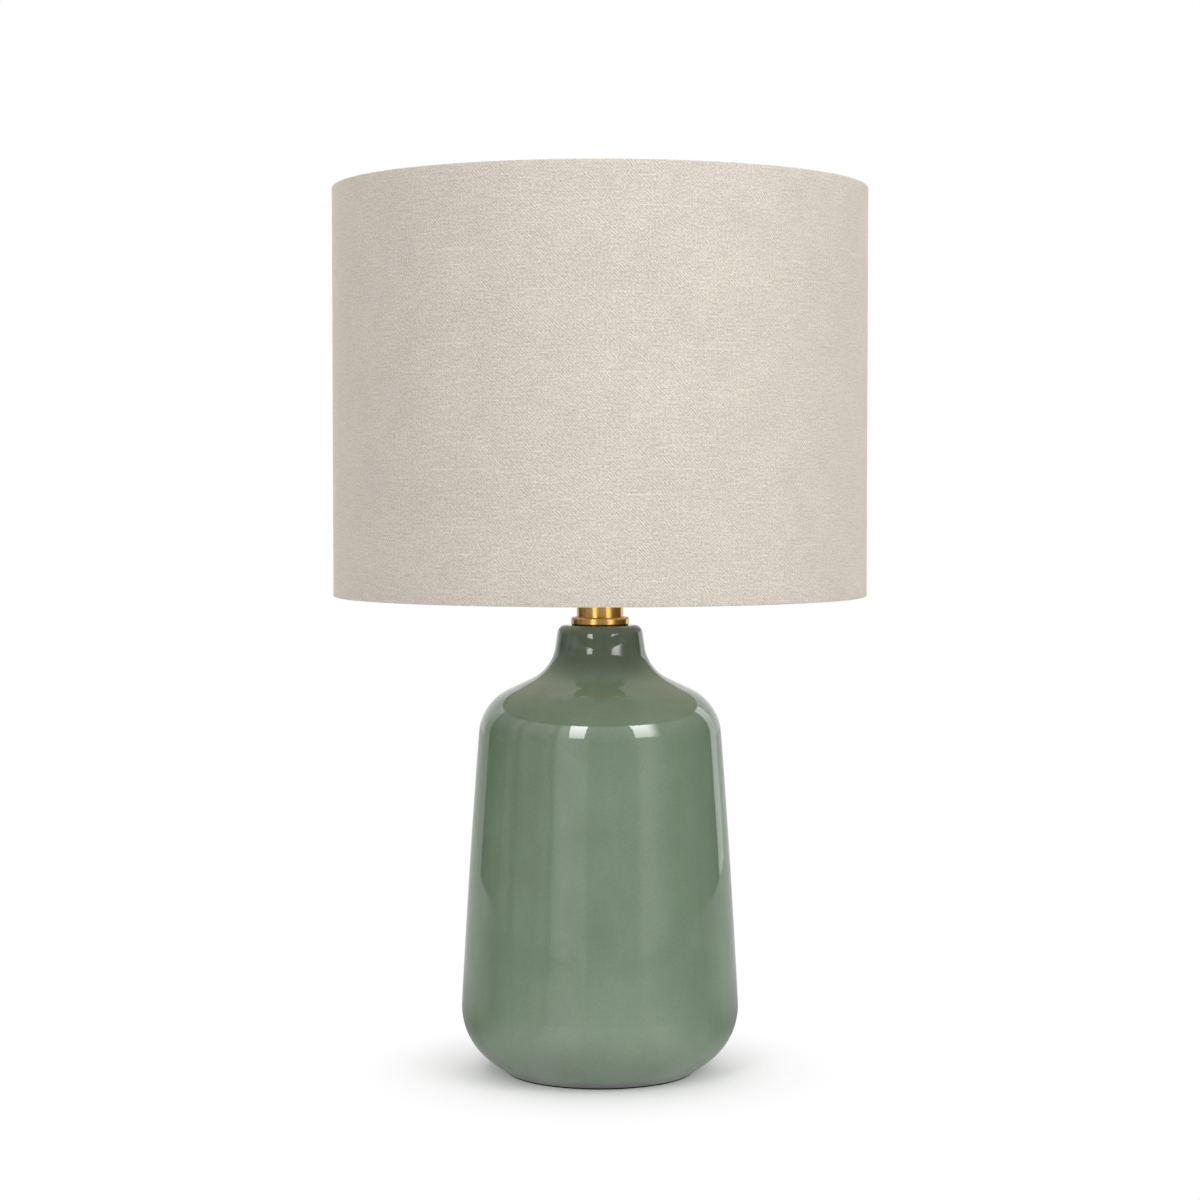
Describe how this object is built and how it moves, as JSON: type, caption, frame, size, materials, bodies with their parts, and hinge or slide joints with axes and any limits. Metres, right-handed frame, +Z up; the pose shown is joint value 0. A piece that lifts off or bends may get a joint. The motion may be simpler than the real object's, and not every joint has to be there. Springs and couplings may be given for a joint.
{
  "type": "table lamp",
  "caption": "Table lamp: bottle-shaped glazed ceramic base, brass neck, switched screw socket, wire harp and linen drum shade",
  "frame": {"origin": "centre of the felt pad's underside, on the table", "axes": "+Z up along the lamp's axis, -Y to the front, where the switch knob points, +X to the right"},
  "size_m": [0.3556, 0.3556, 0.5936],
  "materials": {
    "sage_glaze": "clear gloss over mottled sage green",
    "dark_felt": "dark brown felt",
    "black_rubber": "matt black",
    "zinc_steel": "bright zinc plate",
    "brushed_brass": "satin, turned",
    "brass_plate": "brass plate, semi-bright",
    "terminal_brass": "bright",
    "fibre_card": "brown vulcanised fibre",
    "black_moulding": "moulded phenolic",
    "bulb_metal": "nickel plate",
    "white_plastic": "satin moulding",
    "frosted_dome": "frosted, translucent",
    "linen": "oatmeal linen weave",
    "white_lining": "smooth styrene sheet"
  },
  "bodies": {
    "base": {"felt_pad": "dark_felt", "ceramic_body": "sage_glaze", "cord_grommet": "black_rubber", "base_plate": "zinc_steel", "lock_washer": "zinc_steel", "bottom_nut": "zinc_steel", "threaded_tube": "zinc_steel", "neck_gasket": "black_rubber", "neck_flange": "brushed_brass", "neck_tube": "brushed_brass", "lock_nut": "brushed_brass", "harp_saddle": "brass_plate", "harp_loop": "brass_plate", "harp_stud": "brushed_brass", "socket_cap": "brass_plate", "socket_shell": "brass_plate", "socket_set_screw": "zinc_steel", "socket_insulator": "fibre_card", "switch_body": "black_moulding", "terminal_screw_hot": "terminal_brass", "terminal_screw_neutral": "zinc_steel", "screw_shell": "terminal_brass", "centre_contact": "terminal_brass"},
    "switch_knob_body": {"switch_shaft": "zinc_steel", "switch_knob": "black_moulding"},
    "bulb": {"bulb_contact": "bulb_metal", "bulb_cap": "bulb_metal", "bulb_collar": "white_plastic", "bulb_dome": "frosted_dome"},
    "shade": {"shade_fabric": "linen", "shade_lining": "white_lining", "top_ring": "brass_plate", "bottom_ring": "brass_plate", "spider_hub": "brass_plate", "spider_arm_1": "brass_plate", "spider_arm_2": "brass_plate", "spider_arm_3": "brass_plate"},
    "finial_body": {"finial": "brushed_brass"},
    "sleeve_left": {"harp_sleeve_left": "brass_plate"},
    "sleeve_right": {"harp_sleeve_right": "brass_plate"}
  },
  "joints": [
    {"name": "switch_turn", "type": "hinge", "parent": "base", "child": "switch_knob_body", "pos_m": [0, 0, 0.3615], "axis": [0, -1, 0], "continuous": true},
    {"name": "bulb_turn", "type": "hinge", "parent": "base", "child": "bulb", "pos_m": [0, 0, 0.38], "axis": [0, 0, 1], "continuous": true},
    {"name": "shade_turn", "type": "hinge", "parent": "base", "child": "shade", "pos_m": [0, 0, 0.57575], "axis": [0, 0, 1], "continuous": true},
    {"name": "finial_turn", "type": "hinge", "parent": "base", "child": "finial_body", "pos_m": [0, 0, 0.578], "axis": [0, 0, 1], "continuous": true},
    {"name": "sleeve_left_slide", "type": "slide", "parent": "base", "child": "sleeve_left", "axis": [0, 0, 1], "range_m": [0, 0.012]},
    {"name": "sleeve_right_slide", "type": "slide", "parent": "base", "child": "sleeve_right", "axis": [0, 0, 1], "range_m": [0, 0.012]}
  ]
}
